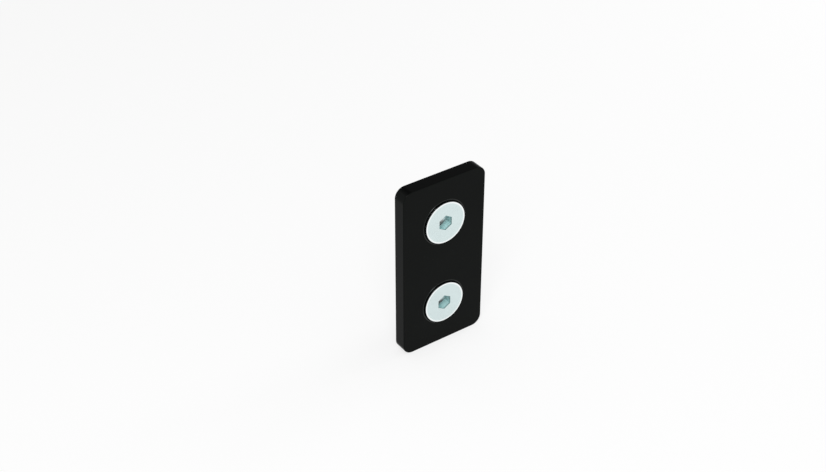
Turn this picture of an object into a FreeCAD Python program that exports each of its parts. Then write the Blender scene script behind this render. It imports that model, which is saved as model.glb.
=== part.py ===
import FreeCAD, Part
import math
import os

from FreeCAD import Vector

# Joining plate: a flat black plate with two countersunk hexagon-socket screws, each of which
# goes through the plate into a T-shaped slot nut behind it. The upper nut lies along Z and the
# lower nut lies along X.
#
# Sizes are in millimetres. The origin is the middle of the plate's back face. +X is to the
# right, +Y points back from the plate and +Z runs up the plate.

# Plate
PLATE_WIDTH = 40.0
PLATE_LENGTH = 80.0
PLATE_THICKNESS = 6.0
PLATE_CORNER_RADIUS = 4.5
PLATE_EDGE_BREAK = 0.3

# Holes, on the plate's centre line
HOLE_FROM_END = 20.0
HOLE_CLEARANCE = 0.5
SEAT_CLEARANCE = 0.02
MOUTH_EDGE_RADIUS = 1.2

# Countersunk screws
SCREW_DIAMETER = 10.0
SCREW_LENGTH = 20.0
HEAD_DIAMETER = 18.9
SHARP_HEAD_DIAMETER = 21.4
HEAD_PROUD = 0.84
HEAD_EDGE_RADIUS = 0.12
SCREW_END_CHAMFER = 1.0
SOCKET_ACROSS_FLATS = 6.0
SOCKET_DEPTH = 3.8
SOCKET_FLOOR_LEDGE = 0.2
SOCKET_FLOOR_SLOPE = 30.0

# Slot that each nut fits, measured from the plate's back face
SLOT_MOUTH_WIDTH = 13.8
SLOT_LIP_THICKNESS = 4.5
SLOT_CAVITY_WIDTH = 23.0

# Slot nuts
NUT_LENGTH = 20.0
NUT_BASE_HEIGHT = 7.0
NUT_WING_CLEARANCE = 0.5
NUT_NECK_CLEARANCE = 0.3
NUT_NECK_HEIGHT = 2.3
NUT_BASE_CHAMFER = 3.0
NUT_EDGE_BREAK = 0.4
NUT_BORE_CLEARANCE = 0.05
NUT_BORE_CHAMFER = 0.8

# Places worked out from the sizes above
SCREW_RADIUS = SCREW_DIAMETER / 2
HEAD_RADIUS = HEAD_DIAMETER / 2
SHARP_HEAD_RADIUS = SHARP_HEAD_DIAMETER / 2
FRONT_Y = -PLATE_THICKNESS
HEAD_TOP_Y = FRONT_Y - HEAD_PROUD
SCREW_END_Y = HEAD_TOP_Y + SCREW_LENGTH
UPPER_Z = PLATE_LENGTH / 2 - HOLE_FROM_END
LOWER_Z = -UPPER_Z

# Two positions closer than this are the same place
NEAR = 1e-4


def lathe(outline):
    """Turn a closed outline of edges in the XY plane about the Y axis."""
    face = Part.Face(Part.Wire(outline))
    return face.revolve(Vector(0, 0, 0), Vector(0, 1, 0), 360)


def polyline(points):
    """Edges of a closed outline in the XY plane through (x, y) corners."""
    corners = [Vector(x, y, 0) for x, y in points]
    return [Part.makeLine(a, b) for a, b in zip(corners, corners[1:] + corners[:1])]


def edges_at_y(solid, y):
    """Edges that lie wholly in the plane at this Y."""
    return [edge for edge in solid.Edges
            if abs(edge.BoundBox.YMin - y) < NEAR and abs(edge.BoundBox.YMax - y) < NEAR]


def edges_along_y(solid):
    """Straight edges that run along Y."""
    return [edge for edge in solid.Edges
            if edge.BoundBox.YLength > NEAR
            and edge.BoundBox.XLength < NEAR and edge.BoundBox.ZLength < NEAR]


def countersunk_hole():
    """Cutter for one hole: a clearance bore that opens into a 90 degree cone for the head.

    The cone is the head's own cone moved out by the seat clearance. It turns into the front
    face by a round edge, which touches both of them at the same reach from their sharp corner.
    """
    bore_radius = SCREW_RADIUS + HOLE_CLEARANCE
    past = 1.0
    cone_end_y = HEAD_TOP_Y + SHARP_HEAD_RADIUS + SEAT_CLEARANCE - bore_radius
    corner_x = SHARP_HEAD_RADIUS + SEAT_CLEARANCE - HEAD_PROUD
    half_turn = math.radians(45) / 2
    reach = MOUTH_EDGE_RADIUS * math.tan(half_turn)
    slant = reach * math.sqrt(0.5)
    round_x = corner_x + reach
    round_end = Vector(corner_x - slant, FRONT_Y + slant, 0)
    middle = Vector(round_x - MOUTH_EDGE_RADIUS * math.sin(half_turn),
                    FRONT_Y + MOUTH_EDGE_RADIUS * (1 - math.cos(half_turn)), 0)
    mouth_edge = Part.Arc(Vector(round_x, FRONT_Y, 0), middle, round_end).toShape()
    corners = [round_end] + [Vector(x, y, 0) for x, y in (
        (bore_radius, cone_end_y),
        (bore_radius, past),
        (0, past),
        (0, HEAD_TOP_Y - past),
        (round_x, HEAD_TOP_Y - past),
        (round_x, FRONT_Y),
    )]
    outline = [Part.makeLine(a, b) for a, b in zip(corners, corners[1:])]
    return lathe([mouth_edge] + outline)


def joining_plate():
    """Flat plate with rounded corners, broken edges and two countersunk holes."""
    plate = Part.makeBox(PLATE_WIDTH, PLATE_THICKNESS, PLATE_LENGTH,
                         Vector(-PLATE_WIDTH / 2, FRONT_Y, -PLATE_LENGTH / 2))
    plate = plate.makeFillet(PLATE_CORNER_RADIUS, edges_along_y(plate))
    plate = plate.makeChamfer(PLATE_EDGE_BREAK, edges_at_y(plate, FRONT_Y) + edges_at_y(plate, 0))
    for z in (UPPER_Z, LOWER_Z):
        plate = plate.cut(countersunk_hole().translated(Vector(0, 0, z)))
    return plate


def hexagon_socket():
    """Cutter for the key socket: a hexagonal prism with a shallow conical floor inside a ledge.

    Two of the six flats stand upright, so the hexagon has a corner at the top and the bottom.
    """
    corner_radius = SOCKET_ACROSS_FLATS / math.sqrt(3)
    past = 1.0
    corners = []
    for turn in range(6):
        angle = math.radians(30 + 60 * turn)
        corners.append(Vector(corner_radius * math.cos(angle), HEAD_TOP_Y - past,
                              corner_radius * math.sin(angle)))
    hexagon = Part.Face(Part.makePolygon(corners + corners[:1]))
    prism = hexagon.extrude(Vector(0, SOCKET_DEPTH + past, 0))
    floor_radius = SOCKET_ACROSS_FLATS / 2 - SOCKET_FLOOR_LEDGE
    floor_y = HEAD_TOP_Y + SOCKET_DEPTH
    floor_drop = floor_radius * math.tan(math.radians(SOCKET_FLOOR_SLOPE))
    floor = Part.makeCone(floor_radius, 0, floor_drop, Vector(0, floor_y, 0), Vector(0, 1, 0))
    return prism.fuse(floor)


def countersunk_screw():
    """Screw on the Y axis: flat head with a short upright rim, 90 degree cone and round shank."""
    rim_y = HEAD_TOP_Y + HEAD_EDGE_RADIUS
    cone_y = HEAD_TOP_Y + SHARP_HEAD_RADIUS - HEAD_RADIUS
    shank_y = HEAD_TOP_Y + SHARP_HEAD_RADIUS - SCREW_RADIUS
    end_radius = SCREW_RADIUS - SCREW_END_CHAMFER
    round_x = HEAD_RADIUS - HEAD_EDGE_RADIUS
    half = HEAD_EDGE_RADIUS * math.sqrt(0.5)
    top_edge = Part.Arc(Vector(round_x, HEAD_TOP_Y, 0),
                        Vector(round_x + half, rim_y - half, 0),
                        Vector(HEAD_RADIUS, rim_y, 0)).toShape()
    corners = [Vector(x, y, 0) for x, y in (
        (HEAD_RADIUS, rim_y),
        (HEAD_RADIUS, cone_y),
        (SCREW_RADIUS, shank_y),
        (SCREW_RADIUS, SCREW_END_Y - SCREW_END_CHAMFER),
        (end_radius, SCREW_END_Y),
        (0, SCREW_END_Y),
        (0, HEAD_TOP_Y),
        (round_x, HEAD_TOP_Y),
    )]
    outline = [Part.makeLine(a, b) for a, b in zip(corners, corners[1:])]
    return lathe([top_edge] + outline).cut(hexagon_socket())


def slot_nut():
    """T-shaped nut for a slot that runs along Z, with its bore on the Y axis.

    Its wings bear on the inside of the slot's lips. Its neck stands in the slot's mouth and
    stops short of the plate. The base is bevelled like the bottom of the slot.
    """
    neck_half = SLOT_MOUTH_WIDTH / 2 - NUT_NECK_CLEARANCE
    wing_half = SLOT_CAVITY_WIDTH / 2 - NUT_WING_CLEARANCE
    neck_y = SLOT_LIP_THICKNESS - NUT_NECK_HEIGHT
    base_y = SLOT_LIP_THICKNESS + NUT_BASE_HEIGHT
    half_outline = [
        (neck_half - NUT_EDGE_BREAK, neck_y),
        (neck_half, neck_y + NUT_EDGE_BREAK),
        (neck_half, SLOT_LIP_THICKNESS),
        (wing_half - NUT_EDGE_BREAK, SLOT_LIP_THICKNESS),
        (wing_half, SLOT_LIP_THICKNESS + NUT_EDGE_BREAK),
        (wing_half, base_y - NUT_BASE_CHAMFER),
        (wing_half - NUT_BASE_CHAMFER, base_y),
    ]
    outline = half_outline + [(-x, y) for x, y in reversed(half_outline)]
    section = Part.Face(Part.Wire(polyline(outline)))
    body = section.extrude(Vector(0, 0, NUT_LENGTH)).translated(Vector(0, 0, -NUT_LENGTH / 2))
    bore = SCREW_RADIUS + NUT_BORE_CLEARANCE
    wide = bore + NUT_BORE_CHAMFER
    return body.cut(lathe(polyline([
        (0, neck_y),
        (wide, neck_y),
        (bore, neck_y + NUT_BORE_CHAMFER),
        (bore, base_y - NUT_BORE_CHAMFER),
        (wide, base_y),
        (0, base_y),
    ])))


def pieces():
    """Every piece by name, in its place."""
    screw = countersunk_screw()
    nut = slot_nut()
    lying_nut = nut.rotated(Vector(0, 0, 0), Vector(0, 1, 0), 90)
    upper = Vector(0, 0, UPPER_Z)
    lower = Vector(0, 0, LOWER_Z)
    return {
        "joining_plate": joining_plate(),
        "upper_screw": screw.translated(upper),
        "lower_screw": screw.translated(lower),
        "upper_slot_nut": nut.translated(upper),
        "lower_slot_nut": lying_nut.translated(lower),
    }


os.makedirs("parts", exist_ok=True)
for name, solid in pieces().items():
    solid.exportStep("parts/" + name + ".step")
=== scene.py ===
"""Looks of a joining plate: black plate, countersunk screws and slot nuts.

Laid out as an add-on and run as a script. Every size is in metres, in the plate's own frame:
the origin is the middle of the plate's back face, +Y points back from it and +Z runs up.
"""

import math

import bpy
import numpy as np
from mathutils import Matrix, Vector


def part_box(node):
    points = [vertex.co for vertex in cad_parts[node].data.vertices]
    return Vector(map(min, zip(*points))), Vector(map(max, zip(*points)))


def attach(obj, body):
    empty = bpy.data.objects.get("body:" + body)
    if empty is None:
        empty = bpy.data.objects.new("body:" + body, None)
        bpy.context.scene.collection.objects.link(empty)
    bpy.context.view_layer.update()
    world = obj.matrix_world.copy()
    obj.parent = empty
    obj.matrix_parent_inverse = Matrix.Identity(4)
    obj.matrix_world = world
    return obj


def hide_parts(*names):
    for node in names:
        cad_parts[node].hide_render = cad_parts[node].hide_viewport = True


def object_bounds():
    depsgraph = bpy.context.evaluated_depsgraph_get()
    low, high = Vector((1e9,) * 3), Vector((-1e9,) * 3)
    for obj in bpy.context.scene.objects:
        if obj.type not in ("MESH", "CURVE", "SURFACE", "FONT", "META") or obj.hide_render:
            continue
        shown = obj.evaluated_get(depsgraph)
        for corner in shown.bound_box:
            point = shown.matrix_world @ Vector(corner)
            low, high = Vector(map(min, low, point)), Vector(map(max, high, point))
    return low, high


bl_info = {
    "name": "Extrusion Joining Plate",
    "version": (1, 0, 0),
    "blender": (4, 5, 0),
    "location": "View3D > Sidebar > Joining Plate",
    "description": "Countersunk joining plate with its screws, slot nuts and studio",
    "category": "Add Mesh",
}

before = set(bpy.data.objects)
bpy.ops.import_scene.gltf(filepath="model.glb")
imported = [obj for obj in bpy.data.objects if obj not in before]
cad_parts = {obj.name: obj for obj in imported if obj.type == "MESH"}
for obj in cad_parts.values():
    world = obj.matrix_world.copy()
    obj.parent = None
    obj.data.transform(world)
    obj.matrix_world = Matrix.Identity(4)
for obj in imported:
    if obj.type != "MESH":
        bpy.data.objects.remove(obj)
cad_low, cad_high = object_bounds()

BODY = "root"
PLATE_LOW, PLATE_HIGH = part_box("joining_plate")
SCREW_LOW, SCREW_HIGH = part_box("upper_screw")
NUT_LOW, NUT_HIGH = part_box("upper_slot_nut")

HALF_WIDTH = PLATE_HIGH.x
HALF_LENGTH = PLATE_HIGH.z
FRONT_Y = PLATE_LOW.y
BACK_Y = PLATE_HIGH.y
HOLE_Z = (SCREW_LOW.z + SCREW_HIGH.z) / 2
HEAD_RADIUS = SCREW_HIGH.x
HEAD_TOP_Y = SCREW_LOW.y
SCREW_END_Y = SCREW_HIGH.y
WING_HALF = NUT_HIGH.x
NECK_Y = NUT_LOW.y
BASE_Y = NUT_HIGH.y
NUT_HALF_LENGTH = (NUT_HIGH.z - NUT_LOW.z) / 2

# Corners closer than this are one corner
WELD = 1e-8

# A path that turns by less than this, in radians, runs straight on
STRAIGHT = 1e-6

# An edge that turns by more than this stays sharp
SHARP_TURN = math.radians(34)

# Nearly every value of a noise texture lies between these two
NOISE_LOW = 0.3
NOISE_HIGH = 0.7


def length(name, description, default):
    """A size in metres."""
    return bpy.props.FloatProperty(name=name, description=description, default=default,
                                   min=0.0, subtype="DISTANCE", precision=5)


def angle(name, description, degrees):
    """An angle, whose default is given in degrees."""
    return bpy.props.FloatProperty(name=name, description=description,
                                   default=math.radians(degrees), subtype="ANGLE")


def colour(name, description, default):
    """A colour in linear red, green and blue."""
    return bpy.props.FloatVectorProperty(name=name, description=description, default=default,
                                         size=3, min=0.0, max=1.0, subtype="COLOR")


def share(name, description, default):
    """A plain number from 0 to 1."""
    return bpy.props.FloatProperty(name=name, description=description, default=default,
                                   min=0.0, max=1.0, subtype="FACTOR")


class PlateSettings(bpy.types.PropertyGroup):
    corner_radius: length("Corner Radius", "Radius of the plate's four corners", 0.0045)
    edge_round: length("Edge Round", "Radius of the plate's outer edges", 0.0003)
    mouth_round: length("Mouth Round", "Radius where a countersink meets the front", 0.0012)
    bore_round: length("Bore Round", "Radius where a countersink meets its bore", 0.00012)
    bore_radius: length("Bore Radius", "Radius of the clearance hole", 0.0055)
    seat_clearance: length("Seat Clearance", "Play between a head and its countersink", 0.00002)
    black_colour: colour("Black Colour", "Colour of the black coating",
                         (0.0040, 0.0047, 0.0043))
    # Painted shade: the two ends are darker than the rest of the coating
    end_shade_colour: colour("End Colour", "Colour of the coating on the two ends",
                       (0.0012, 0.0014, 0.0014))
    black_roughness: share("Black Roughness", "How dull the coating is", 0.16)
    black_reflection: share("Black Reflection", "How strongly the coating mirrors", 0.012)
    face_gloss: share("Face Gloss", "Extra gloss on the faces and long sides", 0.132)
    mouth_gloss: share("Mouth Gloss", "Extra gloss on the edge of a countersink", 1.0)


class ScrewSettings(bpy.types.PropertyGroup):
    sharp_head_radius: length("Sharp Head Radius", "Radius of the head's cone at its top", 0.0107)
    shank_radius: length("Shank Radius", "Outer radius of the thread", 0.005)
    edge_round: length("Edge Round", "Radius of the head's top edge", 0.00012)
    across_flats: length("Across Flats", "Width of the hexagon socket", 0.006)
    socket_depth: length("Socket Depth", "Depth of the socket's flats", 0.0038)
    socket_ledge: length("Socket Ledge", "Flat ledge round the socket's floor", 0.0002)
    socket_break: length("Socket Break", "Bevel at the socket's mouth", 0.00003)
    floor_slope: angle("Floor Slope", "Slope of the socket's floor", 30)
    pitch: length("Pitch", "Pitch of the thread", 0.0015)
    thread_depth: length("Thread Depth", "Depth of the thread", 0.00092)
    end_bevel: length("End Bevel", "Bevel at the end of the shank", 0.001)
    plating_colour: colour("Plating Colour", "Colour of the zinc plating", (0.690, 0.795, 0.795))
    socket_colour: colour("Socket Colour", "Colour of the socket's walls", (0.54, 0.80, 0.80))
    # Painted shade: the two upright flats of the socket are darker than the other walls
    upright_shade_colour: colour("Upright Colour", "Colour of the socket's upright walls",
                           (0.42, 0.63, 0.63))
    # Painted shade: the socket's walls are darker near its mouth
    lip_shade_colour: colour("Lip Colour", "Colour of the socket's walls at its mouth",
                       (0.22, 0.34, 0.34))
    lip_shade_depth: length("Lip Depth", "Depth over which the walls turn into their own colour",
                      0.0009)
    socket_metal: share("Socket Metal", "How metallic the socket's walls are", 0.22)
    # Painted highlight: the rim's near-white colour stands in for a bright edge highlight
    rim_highlight_colour: colour("Rim Colour", "Colour of the polished rim of the head", (0.96, 1.0, 1.0))
    # Painted shade: the rounded edge is darkened to hold back the lamp's highlight on it
    edge_shade_colour: colour("Edge Colour", "Colour of the head's rounded edge", (0.20, 0.21, 0.21))
    # Painted shade: the head's upright side, down in the countersink, is darker
    side_shade_colour: colour("Side Colour", "Colour of the head's upright side", (0.42, 0.45, 0.45))
    floor_colour: colour("Floor Colour", "Colour of the socket's floor", (0.62, 0.68, 0.69))
    # Painted shade: the socket's floor darkens towards its lower end
    floor_shade_colour: colour("Floor Dark", "Colour of the floor's lower end", (0.20, 0.195, 0.195))
    plating_roughness: share("Plating Roughness", "How dull the plating is", 0.30)
    rim_roughness: share("Rim Roughness", "How dull the polished rim is", 0.16)


class NutSettings(bpy.types.PropertyGroup):
    neck_half: length("Neck Half Width", "Half the width of the nut's neck", 0.0066)
    lip_thickness: length("Lip Thickness", "Distance from the plate to the wings", 0.0045)
    base_bevel: length("Base Bevel", "Bevel along the bottom of the base", 0.003)
    edge_break: length("Edge Break", "Bevel along the other long edges", 0.0004)
    edge_round: length("Edge Round", "Rounding of every edge", 0.00018)
    bore_radius: length("Bore Radius", "Radius of the threaded hole", 0.00505)
    bore_bevel: length("Bore Bevel", "Bevel at both ends of the hole", 0.0008)
    nut_colour: colour("Nut Colour", "Colour of the dull zinc plating", (0.52, 0.54, 0.55))
    nut_roughness: share("Nut Roughness", "How dull the plating is", 0.55)


class StageSettings(bpy.types.PropertyGroup):
    camera_place: bpy.props.FloatVectorProperty(
        name="Camera Place", description="Where the camera stands",
        default=(-0.27686, -0.37834, 0.33838), subtype="TRANSLATION")
    azimuth: angle("Azimuth", "Turn of the camera from +Y", -35.08)
    elevation: angle("Elevation", "Tilt of the camera downwards", 35.04)
    lens: bpy.props.FloatProperty(
        name="Lens", description="Focal length on a 36 mm wide sensor",
        default=61.28, unit="CAMERA")
    floor_colour: colour("Floor Colour", "Colour of the floor", (0.90, 0.90, 0.90))
    fill: share("Fill", "Brightness of the surroundings on matt surfaces", 0.62)
    key_power: bpy.props.FloatProperty(
        name="Key Power", description="Power of the main lamp",
        default=5.0, min=0.0, unit="POWER")


def weld(points, faces):
    """Merge corners that lie within one weld distance, and drop those that no face uses."""
    keys = np.round(points / WELD).astype(np.int64)
    _, first, inverse = np.unique(keys, axis=0, return_index=True, return_inverse=True)
    joined = inverse.ravel()[faces]
    used, compact = np.unique(joined, return_inverse=True)
    return points[first][used], compact.reshape(faces.shape)


def pinch(quads):
    """Split quads into whole ones and the triangles left where two corners fell together."""
    same = quads == np.roll(quads, -1, axis=1)
    pinched = same.sum(axis=1) == 1
    whole = quads[~same.any(axis=1)]
    triangles = quads[pinched][~same[pinched]].reshape(-1, 3)
    return whole, triangles


def grid_faces(rows, columns):
    """Quads of a grid whose columns close on themselves, as corner numbers row by row."""
    row, column = np.meshgrid(np.arange(rows - 1), np.arange(columns), indexing="ij")
    after = (column + 1) % columns
    corners = [row * columns + column, row * columns + after,
               (row + 1) * columns + after, (row + 1) * columns + column]
    return np.stack(corners, axis=-1)


def enclosed(points, triangles):
    """Signed volume: a sixth of the sum of each triangle's triple product."""
    a, b, c = (points[triangles[:, k]] for k in range(3))
    return float(np.einsum("ij,ij->i", a, np.cross(b, c)).sum() / 6)


def outward_faces(points, quads):
    """Lists of whole quads and pinched triangles, turned so that the volume is positive."""
    whole, triangles = pinch(quads)
    halves = np.concatenate([whole[:, [0, 1, 2]], whole[:, [0, 2, 3]], triangles])
    if enclosed(points, halves) < 0:
        whole, triangles = whole[:, ::-1], triangles[:, ::-1]
    return whole.tolist() + triangles.tolist()


def rounded_path(corners, radii, steps):
    """Path through (u, v) corners with each inner corner turned into an arc.

    The arc touches both legs at the distance radius x tan(turn / 2) from the corner, and its
    points are the centre plus the radius times the direction swept from one leg to the other.
    """
    corners = np.asarray(corners, float)
    path = [corners[:1]]
    for before, corner, after, radius in zip(corners, corners[1:], corners[2:], radii):
        inward = (corner - before) / np.linalg.norm(corner - before)
        outward = (after - corner) / np.linalg.norm(after - corner)
        turn = math.acos(np.clip(inward @ outward, -1, 1))
        if radius <= 0 or turn < STRAIGHT:
            path.append(corner[None])
            continue
        reach = radius * math.tan(turn / 2)
        start = corner - inward * reach
        side = outward - inward * (inward @ outward)
        side /= np.linalg.norm(side)
        swept = np.linspace(0, turn, steps + 1)[:, None]
        path.append(start + radius * (np.sin(swept) * inward + (1 - np.cos(swept)) * side))
    path.append(corners[-1:])
    return np.concatenate(path)


def add_piece(name, points, faces, material, node):
    """Make a closed mesh object that stands for a CAD node, with outward faces."""
    mesh = bpy.data.meshes.new(name)
    mesh.from_pydata(points.tolist(), [], faces)
    mesh.validate(verbose=True)
    mesh.shade_smooth()
    mesh.set_sharp_from_angle(angle=SHARP_TURN)
    mesh.materials.append(material)
    piece = bpy.data.objects.new(name, mesh)
    bpy.context.scene.collection.objects.link(piece)
    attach(piece, BODY)
    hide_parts(node)
    return piece


def even_shading(piece):
    """Lean the smooth normals towards the larger faces, so that flat faces stay flat."""
    modifier = piece.modifiers.new("even_shading", "WEIGHTED_NORMAL")
    modifier.mode = "FACE_AREA"
    modifier.keep_sharp = True


def plate_half_outline(corner_radius):
    """Loop round the upper half of the plate as (x, z), and the way each point moves inwards.

    From the hole's centre the straight stretches are cut at equal angles: a side point is at
    x = half width, z = centre + half width x tan(angle). The corner is a quarter circle. Points
    on the joint line z = 0 only slide along it. The left side mirrors the right one.
    """
    joint_steps = 16
    side_steps = 30
    corner_steps = 16
    top_steps = 14
    above_hole = HALF_LENGTH - HOLE_Z
    corner_x = HALF_WIDTH - corner_radius
    corner_z = HALF_LENGTH - corner_radius

    joint_angle = np.linspace(0, math.atan2(HALF_WIDTH, HOLE_Z), joint_steps + 1)[:-1]
    joint = np.stack([HOLE_Z * np.tan(joint_angle), 0 * joint_angle], -1)
    joint_in = np.stack([joint[:, 0] / HALF_WIDTH, 0 * joint_angle], -1)
    side_low = -math.atan2(HOLE_Z, HALF_WIDTH)
    side_high = math.atan2(corner_z - HOLE_Z, HALF_WIDTH)
    side_angle = np.linspace(side_low, side_high, side_steps + 1)[:-1]
    side = np.stack([HALF_WIDTH + 0 * side_angle, HOLE_Z + HALF_WIDTH * np.tan(side_angle)], -1)
    side_in = np.stack([1 + 0 * side_angle, 0 * side_angle], -1)
    corner_angle = np.linspace(0, math.pi / 2, corner_steps + 1)[:-1]
    corner_in = np.stack([np.cos(corner_angle), np.sin(corner_angle)], -1)
    corner = np.array([corner_x, corner_z]) + corner_radius * corner_in
    top_angle = np.linspace(math.atan2(corner_x, above_hole), 0, top_steps + 1)
    top = np.stack([above_hole * np.tan(top_angle), HALF_LENGTH + 0 * top_angle], -1)
    top_in = np.stack([0 * top_angle, 1 + 0 * top_angle], -1)

    right = np.concatenate([joint, side, corner, top])
    right_in = np.concatenate([joint_in, side_in, corner_in, top_in])
    mirror = np.array([-1.0, 1.0])
    outline = np.concatenate([right, right[-2:0:-1] * mirror])
    inward = np.concatenate([right_in, right_in[-2:0:-1] * mirror])
    return outline, inward


def mouth_radius(plate, screw):
    """Radius where the cone of a countersink would meet the front: it opens at 45 degrees."""
    return screw.sharp_head_radius + plate.seat_clearance - (FRONT_Y - HEAD_TOP_Y)


def plate_surface(plate, screw):
    """Points and quads of the whole plate.

    Each half is a grid. Its columns are rays from the hole to the half's outline. Its rows run
    from the front outline to the hole, through the hole, back out to the outline and round the
    plate's edge. A row is either a ring of one radius round the hole, an inset of the outline,
    or a straight mix of the two. The lower half is the upper one mirrored in z.
    """
    blend_steps = 4
    outline, inward = plate_half_outline(plate.corner_radius)
    bearing = np.arctan2(outline[:, 1] - HOLE_Z, outline[:, 0])
    circle = np.stack([np.cos(bearing), np.sin(bearing)], -1)
    centre = np.array([0.0, HOLE_Z])

    mouth = mouth_radius(plate, screw)
    cone_end_y = FRONT_Y + mouth - plate.bore_radius
    front_ring = mouth + 2 * plate.mouth_round
    back_ring = plate.bore_radius + 2 * plate.edge_round
    hole = rounded_path(
        [(front_ring, FRONT_Y), (mouth, FRONT_Y), (plate.bore_radius, cone_end_y),
         (plate.bore_radius, BACK_Y), (back_ring, BACK_Y)],
        [plate.mouth_round, plate.bore_round, plate.edge_round], steps=8)
    edge_inset = 2 * plate.edge_round
    edge = rounded_path(
        [(edge_inset, BACK_Y), (0, BACK_Y), (0, FRONT_Y), (edge_inset, FRONT_Y)],
        [plate.edge_round, plate.edge_round], steps=6)

    def ring(radius, y):
        """Circle round the hole, one point on each ray."""
        flat = centre + radius * circle
        return np.stack([flat[:, 0], np.full(len(flat), y), flat[:, 1]], -1)

    def inset(depth, y):
        """The outline, moved inwards."""
        flat = outline - depth * inward
        return np.stack([flat[:, 0], np.full(len(flat), y), flat[:, 1]], -1)

    blend = np.linspace(0, 1, blend_steps + 1)[1:-1]
    front = [(1 - t) * inset(*edge[-1]) + t * ring(*hole[0]) for t in blend]
    back = [(1 - t) * ring(*hole[-1]) + t * inset(*edge[0]) for t in blend]
    rows = front + [ring(*p) for p in hole] + back + [inset(*p) for p in edge]
    rows.append(front[0])
    points = np.stack(rows)
    quads = grid_faces(len(rows), len(outline))

    # The two halves meet on the joint line, so the edge has no wall there
    edge_start = len(front) + len(hole) + len(back)
    on_joint = outline[:, 1] < WELD
    joint_step = on_joint & np.roll(on_joint, -1)
    keep = np.ones(quads.shape[:2], bool)
    keep[edge_start:edge_start + len(edge) - 1, joint_step] = False
    upper = quads[keep]
    flat = points.reshape(-1, 3)
    lower = upper[:, ::-1] + len(flat)
    return weld(np.concatenate([flat, flat * [1, 1, -1]]), np.concatenate([upper, lower]))


def thread_radius(y, theta, screw, start_y):
    """Radius of the threaded shank at each (y, theta).

    The phase y / pitch + theta / turn gives a right-hand helix. Over one pitch the thread is a
    crest an eighth wide, a root a quarter wide and eased straight flanks between. Its depth
    grows from nothing over the first half pitch, and the end bevel cuts it off at 45 degrees.
    """
    crest_end = 1 / 16
    root_start = 3 / 8
    phase = y / screw.pitch + theta / (2 * math.pi)
    from_crest = np.abs((phase + 0.5) % 1.0 - 0.5)
    flank = np.clip((from_crest - crest_end) / (root_start - crest_end), 0, 1)
    eased = flank - 0.5 * np.sin(2 * math.pi * flank) / (2 * math.pi)
    growth = np.clip((y - start_y) / (0.5 * screw.pitch), 0, 1)
    threaded = screw.shank_radius - screw.thread_depth * eased * growth
    bevel = screw.shank_radius - screw.end_bevel + (SCREW_END_Y - y)
    return np.minimum(threaded, bevel)


def screw_surface(screw):
    """Points and quads of a screw on the Y axis, as one grid closed by two poles.

    The columns are equal angles. The rows go from the middle of the socket's floor up its six
    flats, across the head, round its edge and down the cone, then along the thread to the end.
    A flat lies at the radius (half the width across flats) / cos(angle from the flat's middle).
    """
    columns = 192
    wall_steps = 5
    steps_per_pitch = 24
    neck_round = 0.0004

    theta = np.arange(columns) * 2 * math.pi / columns
    sector = math.pi / 3
    flat_angle = (theta + sector / 2) % sector - sector / 2
    half_flats = screw.across_flats / 2
    hexagon = half_flats / np.cos(flat_angle)
    plain = np.ones(columns)

    floor_radius = half_flats - screw.socket_ledge
    floor_y = HEAD_TOP_Y + screw.socket_depth
    tip_y = floor_y + floor_radius * math.tan(screw.floor_slope)
    cone_y = HEAD_TOP_Y + screw.sharp_head_radius - HEAD_RADIUS
    shank_y = HEAD_TOP_Y + screw.sharp_head_radius - screw.shank_radius
    inner_ring = 1.35 * half_flats
    outer_ring = 1.5 * inner_ring
    end_ring = 0.6 * screw.shank_radius

    rows = [(0 * plain, tip_y), (floor_radius / 2 * plain, (tip_y + floor_y) / 2),
            (floor_radius * plain, floor_y), (hexagon, floor_y)]
    wall = np.linspace(floor_y, HEAD_TOP_Y + screw.socket_break, wall_steps + 1)[1:]
    rows += [(hexagon, y) for y in wall]
    rows.append((hexagon + screw.socket_break, HEAD_TOP_Y))
    rows.append((inner_ring * plain, HEAD_TOP_Y))
    head = rounded_path(
        [(outer_ring, HEAD_TOP_Y), (HEAD_RADIUS, HEAD_TOP_Y), (HEAD_RADIUS, cone_y),
         (screw.shank_radius, shank_y), (screw.shank_radius, shank_y + 2 * neck_round)],
        [screw.edge_round, screw.edge_round / 2, neck_round], steps=5)
    rows += [(radius * plain, y) for radius, y in head]

    start_y = head[-1, 1]
    steps = int(math.ceil((SCREW_END_Y - start_y) / screw.pitch * steps_per_pitch))
    along = np.linspace(start_y, SCREW_END_Y, steps + 1)[1:]
    rows += [(thread_radius(y, theta, screw, start_y), y) for y in along]
    rows.append((end_ring * plain, SCREW_END_Y))
    rows.append((0 * plain, SCREW_END_Y))

    radius = np.stack([r for r, _ in rows])
    y = np.repeat(np.array([v for _, v in rows])[:, None], columns, axis=1)
    points = np.stack([radius * np.cos(theta), y, radius * np.sin(theta)], -1).reshape(-1, 3)
    return weld(points, grid_faces(len(rows), columns).reshape(-1, 4))


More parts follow.
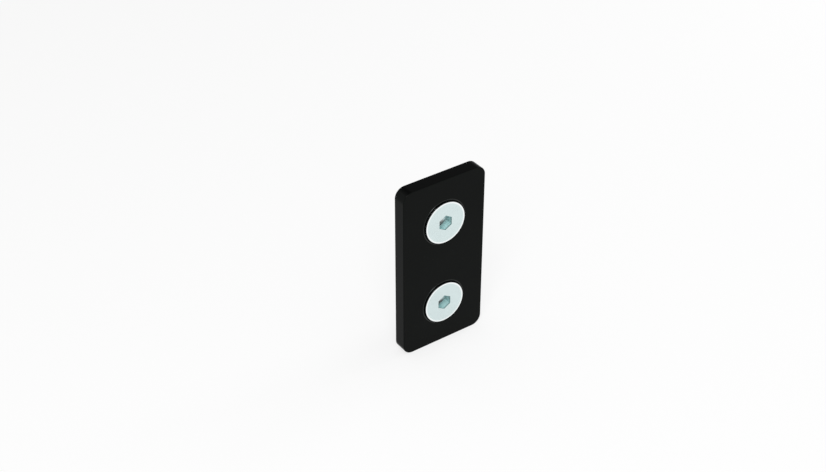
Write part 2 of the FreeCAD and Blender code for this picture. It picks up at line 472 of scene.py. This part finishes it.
def nut_surface(nut):
    """Points, quads and end faces of a slot nut on the Y axis, for a slot that runs along Z.

    The long sides are the T outline carried along Z. The neck's face and the base's face are
    rectangles mixed into the bore's circle, one ray for each point of the rectangle's loop. The
    bore is rings between them, and each end is one flat face with the whole outline as its rim.
    """
    across_steps = 12
    along_steps = 24
    profile = np.array([
        (nut.neck_half - nut.edge_break, NECK_Y),
        (nut.neck_half, NECK_Y + nut.edge_break),
        (nut.neck_half, nut.lip_thickness),
        (WING_HALF - nut.edge_break, nut.lip_thickness),
        (WING_HALF, nut.lip_thickness + nut.edge_break),
        (WING_HALF, BASE_Y - nut.base_bevel),
        (WING_HALF - nut.base_bevel, BASE_Y),
    ])
    across = np.linspace(-1, 1, across_steps + 1)
    along = np.linspace(-1, 1, along_steps + 1) * NUT_HALF_LENGTH

    def loop(half_width, y):
        """Rectangle round the Y axis: along +X's side, the +Z end, the other side and end."""
        side = np.stack([0 * along + half_width, along], -1)[:-1]
        end = np.stack([across[::-1] * half_width, 0 * across + NUT_HALF_LENGTH], -1)[:-1]
        flat = np.concatenate([side, end, -side, -end])
        return np.stack([flat[:, 0], np.full(len(flat), y), flat[:, 1]], -1)

    def ring(radius, y, like):
        """Circle round the Y axis, with a point at the bearing of each point of a loop."""
        bearing = np.arctan2(like[:, 2], like[:, 0])
        return np.stack([radius * np.cos(bearing), np.full(len(like), y),
                         radius * np.sin(bearing)], -1)

    neck_loop = loop(*profile[0])
    base_loop = loop(*profile[-1])
    wide = nut.bore_radius + nut.bore_bevel
    rows = [neck_loop, ring(wide, NECK_Y, neck_loop),
            ring(nut.bore_radius, NECK_Y + nut.bore_bevel, neck_loop),
            ring(nut.bore_radius, BASE_Y - nut.bore_bevel, base_loop),
            ring(wide, BASE_Y, base_loop), base_loop]
    columns = len(neck_loop)
    faces = [grid_faces(len(rows), columns).reshape(-1, 4)]
    points = [np.concatenate(rows)]

    count = columns * len(rows)
    stops = len(along)
    for side in (1, -1):
        strip = np.stack([np.repeat(side * profile[:, :1], stops, 1),
                          np.repeat(profile[:, 1:], stops, 1),
                          np.repeat(along[None], len(profile), 0)], -1)
        row, stop = np.meshgrid(np.arange(len(profile) - 1), np.arange(stops - 1), indexing="ij")
        quad = np.stack([row * stops + stop, (row + 1) * stops + stop,
                         (row + 1) * stops + stop + 1, row * stops + stop + 1], -1)
        if side == -1:
            quad = quad[..., ::-1]
        faces.append(quad.reshape(-1, 4) + count)
        points.append(strip.reshape(-1, 3))
        count += strip.shape[0] * strip.shape[1]

    inner = across[1:-1, None] * np.array([[1.0, 0.0]])
    neck_row = inner * profile[0, 0] + [0, NECK_Y]
    base_row = inner[::-1] * profile[-1, 0] + [0, BASE_Y]
    rim = np.concatenate([neck_row, profile, base_row, profile[::-1] * [-1, 1]])
    caps = []
    for end in (1, -1):
        cap = np.stack([rim[:, 0], rim[:, 1], np.full(len(rim), end * NUT_HALF_LENGTH)], -1)
        points.append(cap)
        order = np.arange(len(rim)) + count
        caps.append(order if end == 1 else order[::-1])
        count += len(rim)
    return np.concatenate(points), np.concatenate(faces), np.array(caps)


def link(tree, source, target):
    """Join one socket to another."""
    tree.links.new(source, target)


def set_values(node, values):
    """Set a node's properties and unlinked inputs by name, with _ for each space."""
    for key, value in values.items():
        if hasattr(node, key):
            setattr(node, key, value)
        else:
            node.inputs[key.replace("_", " ")].default_value = value


def shader_node(tree, kind, place, **values):
    """Add a node at a place in the editor, with its values."""
    node = tree.nodes.new(kind)
    node.location = place
    set_values(node, values)
    return node


def math_node(tree, operation, place, *values):
    """Add a Math node whose inputs are numbers or sockets."""
    node = shader_node(tree, "ShaderNodeMath", place, operation=operation)
    for index, value in enumerate(values):
        if isinstance(value, bpy.types.NodeSocket):
            link(tree, value, node.inputs[index])
        else:
            node.inputs[index].default_value = value
    return node.outputs[0]


def ramp(tree, value, place, low, high, start=0.0, end=1.0):
    """start up to low, end from high on, and a straight run between. low may be the larger."""
    rise = shader_node(tree, "ShaderNodeMapRange", place,
                       From_Min=low, From_Max=high, To_Min=start, To_Max=end)
    link(tree, value, rise.inputs["Value"])
    return rise.outputs["Result"]


def mixed(tree, place, amount, first, second):
    """Mix of two colours, each a socket or a value, by an amount from 0 to 1."""
    mix = shader_node(tree, "ShaderNodeMix", place, data_type="RGBA")
    link(tree, amount, mix.inputs["Factor"])
    for side, tint in (("A", first), ("B", second)):
        if isinstance(tint, bpy.types.NodeSocket):
            link(tree, tint, mix.inputs[side])
        else:
            mix.inputs[side].default_value = (*tint, 1)
    return mix.outputs["Result"]


def new_group(name, inputs, outputs):
    """Node group with its sockets: (name, default) of each input and name of each output."""
    group = bpy.data.node_groups.new(name, "ShaderNodeTree")
    for socket_name, default in inputs:
        socket = group.interface.new_socket(socket_name, in_out="INPUT",
                                            socket_type="NodeSocketFloat")
        socket.default_value = default
    for socket_name in outputs:
        group.interface.new_socket(socket_name, in_out="OUTPUT", socket_type="NodeSocketFloat")
    return group


def grain_group():
    """Surface Grain: a fine and a broad noise over the object, as a height and a shade.

    Height is the fine noise. Shade mixes the broad noise with a little of the fine one.
    """
    name = "Surface Grain"
    if name in bpy.data.node_groups:
        return bpy.data.node_groups[name]
    fine_share = 0.25
    group = new_group(name, [("Fine Scale", 1000.0), ("Broad Scale", 90.0)], ["Height", "Shade"])
    inside = shader_node(group, "NodeGroupInput", (-700, 0))
    outside = shader_node(group, "NodeGroupOutput", (300, 0))
    place = shader_node(group, "ShaderNodeTexCoord", (-700, 250))
    fine = shader_node(group, "ShaderNodeTexNoise", (-400, 200), Detail=2.0, Roughness=0.45)
    broad = shader_node(group, "ShaderNodeTexNoise", (-400, -100), Detail=4.0, Roughness=0.6)
    for noise, scale in ((fine, "Fine Scale"), (broad, "Broad Scale")):
        link(group, place.outputs["Object"], noise.inputs["Vector"])
        link(group, inside.outputs[scale], noise.inputs["Scale"])
    part = math_node(group, "MULTIPLY", (-150, 100), fine.outputs[0], fine_share)
    shade = math_node(group, "MULTIPLY_ADD", (50, 0), broad.outputs[0], 1 - fine_share, part)
    link(group, fine.outputs[0], outside.inputs["Height"])
    link(group, shade, outside.inputs["Shade"])
    return group


def hole_place_group():
    """Hole Place: where a point lies about the hole that it belongs to.

    The holes' axes are at z = HOLE_Z and -HOLE_Z, so the height above the nearer axis is
    z - sign(z) x HOLE_Z, and the radius from it is the root of x^2 + height^2. Depth is the
    distance behind the heads' tops, Length is the distance |z| from the plate's middle, and
    Across is the distance |x| from the line through both holes.
    """
    name = "Hole Place"
    if name in bpy.data.node_groups:
        return bpy.data.node_groups[name]
    group = new_group(name, [], ["Radius", "Height", "Depth", "Length", "Across"])
    outside = shader_node(group, "NodeGroupOutput", (500, 0))
    place = shader_node(group, "ShaderNodeTexCoord", (-900, 0))
    split = shader_node(group, "ShaderNodeSeparateXYZ", (-700, 0))
    link(group, place.outputs["Object"], split.inputs[0])
    x, y, z = split.outputs["X"], split.outputs["Y"], split.outputs["Z"]
    side = math_node(group, "SIGN", (-500, -200), z)
    height = math_node(group, "MULTIPLY_ADD", (-300, -200), side, -HOLE_Z, z)
    across = math_node(group, "MULTIPLY", (-300, 100), x, x)
    squared = math_node(group, "MULTIPLY_ADD", (-100, 0), height, height, across)
    results = {
        "Radius": math_node(group, "SQRT", (100, 0), squared),
        "Height": height,
        "Depth": math_node(group, "SUBTRACT", (100, 200), y, HEAD_TOP_Y),
        "Length": math_node(group, "ABSOLUTE", (100, -200), z),
        "Across": math_node(group, "ABSOLUTE", (100, -400), x),
    }
    for socket_name, result in results.items():
        link(group, result, outside.inputs[socket_name])
    return group


def hole_place(tree, place):
    """Add the Hole Place group, and return its outputs by name."""
    return shader_node(tree, "ShaderNodeGroup", place, node_tree=hole_place_group()).outputs


def new_material(name, **values):
    """Material with only a Principled shader, with its values."""
    material = bpy.data.materials.new(name)
    material.use_nodes = True
    shader = material.node_tree.nodes["Principled BSDF"]
    set_values(shader, values)
    return material, material.node_tree, shader


def grain_into(tree, shader, fine, broad, relief, roughness, dull):
    """Feed a shader's normal and roughness from the grain, and return shade and roughness.

    The roughness stays within dull of the one given.
    """
    grain = shader_node(tree, "ShaderNodeGroup", (-900, 0), node_tree=grain_group(),
                        Fine_Scale=fine, Broad_Scale=broad)
    bump = shader_node(tree, "ShaderNodeBump", (-350, -300), Strength=1.0, Distance=relief)
    link(tree, grain.outputs["Height"], bump.inputs["Height"])
    link(tree, bump.outputs["Normal"], shader.inputs["Normal"])
    shade = grain.outputs["Shade"]
    rough = ramp(tree, shade, (-350, -50), NOISE_LOW, NOISE_HIGH,
                 roughness - dull, roughness + dull)
    link(tree, rough, shader.inputs["Roughness"])
    return shade, rough


def shaded_colour(tree, shade, base, dark, light):
    """Colour that runs with the grain's shade from dark to light times the base."""
    base = np.array(base)
    spread = ramp(tree, shade, (-600, 250), NOISE_LOW, NOISE_HIGH)
    return mixed(tree, (-350, 250), spread, base * dark, np.minimum(base * light, 1))


def end_shade_mask(tree, plate, place):
    """1 on the plate's two ends: between the front and the back, close to |z| = HALF_LENGTH."""
    starts = HALF_LENGTH - 0.0012
    full = HALF_LENGTH - 0.0002
    half_thickness = (BACK_Y - FRONT_Y) / 2
    middle = FRONT_Y - HEAD_TOP_Y + half_thickness
    between = math_node(tree, "COMPARE", (-1200, 900), place["Depth"], middle,
                        half_thickness - plate.edge_round / 2)
    far = ramp(tree, place["Length"], (-1200, 1150), starts, full)
    return math_node(tree, "MULTIPLY", (-1000, 1000), between, far)


def mouth_mask(tree, plate, screw, place):
    """1 on the outer part of each countersink's round edge, and 0 on the rest of the plate.

    The round edge meets the front at 0.41 of its own radius outside the sharp mouth. The plate's
    back also has places at these radii, so the mask ends behind the round edge.
    """
    mouth = mouth_radius(plate, screw)
    bend = plate.mouth_round
    starts, full, falls, ends = (mouth + part * bend for part in (0.05, 0.15, 0.35, 0.41))
    outer = ramp(tree, place["Radius"], (-1200, 700), ends, falls)
    inner = ramp(tree, place["Radius"], (-1200, 450), starts, full)
    edge = math_node(tree, "MULTIPLY", (-1000, 600), outer, inner)
    front = math_node(tree, "LESS_THAN", (-1000, 400), place["Depth"],
                      FRONT_Y - HEAD_TOP_Y + bend)
    return math_node(tree, "MULTIPLY", (-800, 600), edge, front)


def black_coating(plate, screw):
    """Smooth black coating: a very shallow orange peel and hardly any change of shade.

    Over it lies a glossier skin, which is full on the round edge of each countersink, thin on
    the faces and long sides, and missing on the plate's two ends. The ends are darker too: that
    is painted shade, which with the missing gloss stands in for the dark surroundings that the
    top end mirrors.
    """
    material, tree, shader = new_material(
        "black_coating", Coat_Roughness=0.08, Coat_IOR=1.35,
        Specular_IOR_Level=plate.black_reflection)
    shade, _ = grain_into(tree, shader, fine=900.0, broad=60.0, relief=1.2e-6,
                          roughness=plate.black_roughness, dull=0.03)
    tint = shaded_colour(tree, shade, plate.black_colour, dark=0.9, light=1.1)
    place = hole_place(tree, (-1500, 600))
    ends = end_shade_mask(tree, plate, place)
    # Painted shade on the plate's two ends
    tint = mixed(tree, (-150, 400), ends, tint, plate.end_shade_colour)
    link(tree, tint, shader.inputs["Base Color"])

    edge = mouth_mask(tree, plate, screw, place)
    faces = math_node(tree, "MULTIPLY_ADD", (-800, 900), ends, -plate.face_gloss,
                      plate.face_gloss)
    gloss = math_node(tree, "MULTIPLY_ADD", (-600, 700), edge,
                      plate.mouth_gloss - plate.face_gloss, faces)
    link(tree, gloss, shader.inputs["Coat Weight"])
    return material


def head_finish(tree, screw, place, tint):
    """Tint with the head's rim laid over it, and the rim as a mask.

    The rim is where the radius nears the head's own, ahead of the head's cone. Its rounded edge
    starts just behind the head's top, and its upright side starts behind that. The rim's
    near-white colour is a painted highlight, and the darker rounded edge and upright side are
    painted shade.
    """
    rim_starts = HEAD_RADIUS - 0.0008
    rim_full = HEAD_RADIUS - 0.0005
    edge_starts = 0.05 * screw.edge_round
    edge_full = 0.3 * screw.edge_round
    side_starts = 0.7 * screw.edge_round
    side_full = 1.2 * screw.edge_round
    depth = place["Depth"]
    outer = ramp(tree, place["Radius"], (-1000, 900), rim_starts, rim_full)
    front = math_node(tree, "LESS_THAN", (-1000, 750), depth,
                      screw.sharp_head_radius - HEAD_RADIUS)
    rim = math_node(tree, "MULTIPLY", (-800, 850), outer, front)
    turned = ramp(tree, depth, (-1000, 1250), edge_starts, edge_full)
    edge = math_node(tree, "MULTIPLY", (-600, 1150), rim, turned)
    behind = ramp(tree, depth, (-1000, 1050), side_starts, side_full)
    side = math_node(tree, "MULTIPLY", (-600, 950), rim, behind)
    # Painted highlight on the head's rim
    tint = mixed(tree, (-350, 300), rim, tint, screw.rim_highlight_colour)
    # Painted shade on the head's rounded edge
    tint = mixed(tree, (-250, 300), edge, tint, screw.edge_shade_colour)
    # Painted shade on the head's upright side
    tint = mixed(tree, (-200, 300), side, tint, screw.side_shade_colour)
    return tint, rim


def socket_finish(tree, screw, place, tint):
    """Tint with the socket's walls and floor laid over it, and the walls as a mask.

    The socket is all that lies within reach of the hexagon's corners, from just behind the
    head's top to past the floor's tip. Its walls are darker at the mouth, and on the two upright
    flats, where |x| is largest. Its floor is the deepest part, which darkens from the axis down.
    These three darkenings are painted shade.
    """
    half_flats = screw.across_flats / 2
    past_corner = 1.2 * half_flats
    middle = 0.75 * screw.socket_depth
    upright_starts = 0.93 * half_flats
    upright_full = 0.97 * half_flats
    fall_starts = -0.0008
    fall_full = -0.0022
    depth = place["Depth"]
    near = math_node(tree, "LESS_THAN", (-1000, 600), place["Radius"], past_corner)
    deep = math_node(tree, "COMPARE", (-1000, 450), depth, middle, middle - screw.socket_break / 8)
    socket = math_node(tree, "MULTIPLY", (-800, 550), near, deep)
    bottom = math_node(tree, "GREATER_THAN", (-1000, 300), depth,
                       screw.socket_depth - screw.socket_break)
    floor = math_node(tree, "MULTIPLY", (-600, 400), socket, bottom)
    # Painted shade: the floor darkens from the axis down
    floor_fall_shade = ramp(tree, place["Height"], (-1000, 150), fall_starts, fall_full)
    floor_tint = mixed(tree, (-400, 500), floor_fall_shade, screw.floor_colour, screw.floor_shade_colour)
    # Painted shade on the two upright flats
    upright = ramp(tree, place["Across"], (-400, 900), upright_starts, upright_full)
    wall_tint = mixed(tree, (-200, 600), upright, screw.socket_colour, screw.upright_shade_colour)
    # Painted shade on the walls near the mouth
    lip_shade = ramp(tree, depth, (-400, 1200), screw.lip_shade_depth, screw.lip_shade_depth / 4)
    wall_tint = mixed(tree, (-100, 800), lip_shade, wall_tint, screw.lip_shade_colour)
    tint = mixed(tree, (-50, 300), socket, tint, wall_tint)
    tint = mixed(tree, (100, 300), floor, tint, floor_tint)
    return tint, math_node(tree, "SUBTRACT", (-400, 700), socket, floor)


def bright_zinc(screw):
    """Bright zinc plating of the screws, polished at the head's rim and tinted in the socket, with
    a painted highlight on the rim and painted shade on the head's edge and side and in the socket.
    """
    material, tree, shader = new_material("bright_zinc")
    shade, roughness = grain_into(tree, shader, fine=2600.0, broad=240.0, relief=1.0e-6,
                                  roughness=screw.plating_roughness, dull=0.05)
    tint = shaded_colour(tree, shade, screw.plating_colour, dark=0.97, light=1.03)
    place = hole_place(tree, (-1300, 600))
    tint, rim = head_finish(tree, screw, place, tint)
    tint, walls = socket_finish(tree, screw, place, tint)
    link(tree, tint, shader.inputs["Base Color"])
    smoother = screw.rim_roughness - screw.plating_roughness
    polished = math_node(tree, "MULTIPLY_ADD", (-150, -100), rim, smoother, roughness)
    link(tree, polished, shader.inputs["Roughness"])
    metal = math_node(tree, "MULTIPLY_ADD", (-150, 100), walls, screw.socket_metal - 1, 1.0)
    link(tree, metal, shader.inputs["Metallic"])
    return material


def dull_zinc(nut):
    """Dull zinc plating of the slot nuts: mottled grey with a soft grain."""
    material, tree, shader = new_material("dull_zinc", Metallic=1.0)
    shade, _ = grain_into(tree, shader, fine=1800.0, broad=160.0, relief=3.0e-6,
                          roughness=nut.nut_roughness, dull=0.08)
    tint = shaded_colour(tree, shade, nut.nut_colour, dark=0.85, light=1.1)
    link(tree, tint, shader.inputs["Base Color"])
    return material


def seen_ray(tree):
    """1 for rays from the camera, off gloss and through glass, and 0 for the rest."""
    path = shader_node(tree, "ShaderNodeLightPath", (-700, 300))
    seen = math_node(tree, "MAXIMUM", (-500, 300), path.outputs["Is Camera Ray"],
                     path.outputs["Is Glossy Ray"])
    return math_node(tree, "MAXIMUM", (-350, 300), seen, path.outputs["Is Transmission Ray"])


def add_floor(stage):
    """Large pale floor at the part's lowest point.

    Seen rays get mostly plain white, and the rest of what they get is the lit floor with the
    object's shadow. Far out the floor turns wholly white, so that it has no edge against the
    world.
    """
    half_size = 3.0
    white_share = 0.7
    whiter_from = 0.45
    all_white_from = 1.2
    corners = [(x * half_size, y * half_size, cad_low.z)
               for x, y in ((-1, -1), (1, -1), (1, 1), (-1, 1))]
    mesh = bpy.data.meshes.new("floor")
    mesh.from_pydata(corners, [], [(0, 1, 2, 3)])
    floor = bpy.data.objects.new("floor", mesh)
    bpy.context.scene.collection.objects.link(floor)

    material, tree, shader = new_material("floor", Base_Color=(*stage.floor_colour, 1),
                                          Roughness=0.9, Specular_IOR_Level=0.0)
    mesh.materials.append(material)
    white = shader_node(tree, "ShaderNodeEmission", (0, -200), Strength=1.0)
    place = shader_node(tree, "ShaderNodeTexCoord", (-1100, 550))
    away = shader_node(tree, "ShaderNodeVectorMath", (-900, 550), operation="LENGTH")
    link(tree, place.outputs["Object"], away.inputs[0])
    whiteness = ramp(tree, away.outputs["Value"], (-700, 550), whiter_from, all_white_from,
                     white_share, 1.0)
    amount = math_node(tree, "MULTIPLY", (-150, 300), seen_ray(tree), whiteness)
    mix = shader_node(tree, "ShaderNodeMixShader", (250, 100))
    link(tree, amount, mix.inputs[0])
    link(tree, shader.outputs[0], mix.inputs[1])
    link(tree, white.outputs[0], mix.inputs[2])
    link(tree, mix.outputs[0], tree.nodes["Material Output"].inputs["Surface"])


def add_surroundings(stage):
    """White world: full strength where it is seen or mirrored, less on matt surfaces."""
    world = bpy.data.worlds.new("surroundings")
    bpy.context.scene.world = world
    world.use_nodes = True
    tree = world.node_tree
    back = tree.nodes["Background"]
    back.inputs["Color"].default_value = (1, 1, 1, 1)
    strength = ramp(tree, seen_ray(tree), (-200, 100), 0.0, 1.0, stage.fill, 1.0)
    link(tree, strength, back.inputs["Strength"])


def add_lamp(name, place, size, power):
    """Square soft lamp that faces the middle of the plate."""
    data = bpy.data.lights.new(name, "AREA")
    data.shape = "SQUARE"
    data.size = size
    data.energy = power
    lamp = bpy.data.objects.new(name, data)
    bpy.context.scene.collection.objects.link(lamp)
    lamp.location = place
    lamp.rotation_euler = (-Vector(place)).to_track_quat("-Z", "Y").to_euler()


def add_lamps(stage):
    """A key lamp up on the left, and a weaker one on the right."""
    add_lamp("key_lamp", place=(-0.45, -0.55, 0.75), size=0.5, power=stage.key_power)
    add_lamp("side_lamp", place=(0.80, 0.05, 0.45), size=0.4, power=0.4 * stage.key_power)


def add_camera(stage):
    """Camera at the photograph's place and angle, with no shift."""
    data = bpy.data.cameras.new("camera")
    data.sensor_width = 36.0
    data.lens = stage.lens
    data.clip_start = 0.01
    camera = bpy.data.objects.new("camera", data)
    bpy.context.scene.collection.objects.link(camera)
    camera.location = stage.camera_place
    level = math.cos(stage.elevation)
    look = Vector((-math.sin(stage.azimuth) * level, math.cos(stage.azimuth) * level,
                   -math.sin(stage.elevation)))
    camera.rotation_euler = look.to_track_quat("-Z", "Y").to_euler()
    bpy.context.scene.camera = camera


class JOININGPLATE_OT_plate(bpy.types.Operator):
    """Build the black plate with its countersunk holes"""
    bl_idname = "joining_plate.plate"
    bl_label = "Plate"

    def execute(self, context):
        plate = context.scene.plate_settings
        screw = context.scene.screw_settings
        points, quads = plate_surface(plate, screw)
        piece = add_piece("plate", points, outward_faces(points, quads),
                          black_coating(plate, screw), "joining_plate")
        even_shading(piece)
        return {"FINISHED"}


class JOININGPLATE_OT_screws(bpy.types.Operator):
    """Build the two countersunk screws"""
    bl_idname = "joining_plate.screws"
    bl_label = "Screws"

    def execute(self, context):
        screw = context.scene.screw_settings
        material = bright_zinc(screw)
        points, quads = screw_surface(screw)
        faces = outward_faces(points, quads)
        for where, z in (("upper", HOLE_Z), ("lower", -HOLE_Z)):
            piece = add_piece(where + "_socket_screw", points + [0, 0, z], faces, material,
                              where + "_screw")
            even_shading(piece)
        return {"FINISHED"}


class JOININGPLATE_OT_nuts(bpy.types.Operator):
    """Build the two slot nuts, the lower one turned to lie across"""
    bl_idname = "joining_plate.nuts"
    bl_label = "Slot Nuts"

    def execute(self, context):
        nut = context.scene.nut_settings
        material = dull_zinc(nut)
        points, quads, caps = nut_surface(nut)
        quarter_turn = points[:, [2, 1, 0]] * [1, 1, -1]
        for where, z, turned in (("upper", HOLE_Z, points), ("lower", -HOLE_Z, quarter_turn)):
            placed = turned + [0, 0, z]
            welded, numbers = weld(placed, np.concatenate([quads.ravel(), caps.ravel()]))
            sides = numbers[:quads.size].reshape(-1, 4)
            ends = numbers[quads.size:].reshape(caps.shape)
            piece = add_piece(where + "_t_nut", welded, sides.tolist() + ends.tolist(), material,
                              where + "_slot_nut")
            bevel = piece.modifiers.new("edge_round", "BEVEL")
            bevel.width = nut.edge_round
            bevel.segments = 3
            bevel.limit_method = "ANGLE"
            bevel.angle_limit = math.radians(35)
            bevel.use_clamp_overlap = False
            even_shading(piece)
        return {"FINISHED"}


class JOININGPLATE_OT_stage(bpy.types.Operator):
    """Set up the floor, lamps, surroundings and camera"""
    bl_idname = "joining_plate.stage"
    bl_label = "Studio Stage"

    def execute(self, context):
        stage = context.scene.stage_settings
        add_floor(stage)
        add_surroundings(stage)
        add_lamps(stage)
        add_camera(stage)
        context.scene.view_settings.view_transform = "Standard"
        return {"FINISHED"}


PARTS = (
    (JOININGPLATE_OT_plate, "plate_settings", PlateSettings),
    (JOININGPLATE_OT_screws, "screw_settings", ScrewSettings),
    (JOININGPLATE_OT_nuts, "nut_settings", NutSettings),
    (JOININGPLATE_OT_stage, "stage_settings", StageSettings),
)


class JOININGPLATE_PT_panel(bpy.types.Panel):
    """Buttons and sizes of the joining plate"""
    bl_label = "Joining Plate"
    bl_idname = "JOININGPLATE_PT_panel"
    bl_space_type = "VIEW_3D"
    bl_region_type = "UI"
    bl_category = "Joining Plate"

    def draw(self, context):
        for operator, settings, kind in PARTS:
            box = self.layout.box()
            box.operator(operator.bl_idname)
            group = getattr(context.scene, settings)
            for name in kind.__annotations__:
                box.prop(group, name)


def register():
    for operator, settings, kind in PARTS:
        bpy.utils.register_class(kind)
        setattr(bpy.types.Scene, settings, bpy.props.PointerProperty(type=kind))
        bpy.utils.register_class(operator)
    bpy.utils.register_class(JOININGPLATE_PT_panel)


def unregister():
    bpy.utils.unregister_class(JOININGPLATE_PT_panel)
    for operator, settings, kind in reversed(PARTS):
        bpy.utils.unregister_class(operator)
        delattr(bpy.types.Scene, settings)
        bpy.utils.unregister_class(kind)


def main():
    register()
    bpy.ops.joining_plate.stage()
    bpy.ops.joining_plate.plate()
    bpy.ops.joining_plate.screws()
    bpy.ops.joining_plate.nuts()


if __name__ == "__main__":
    main()
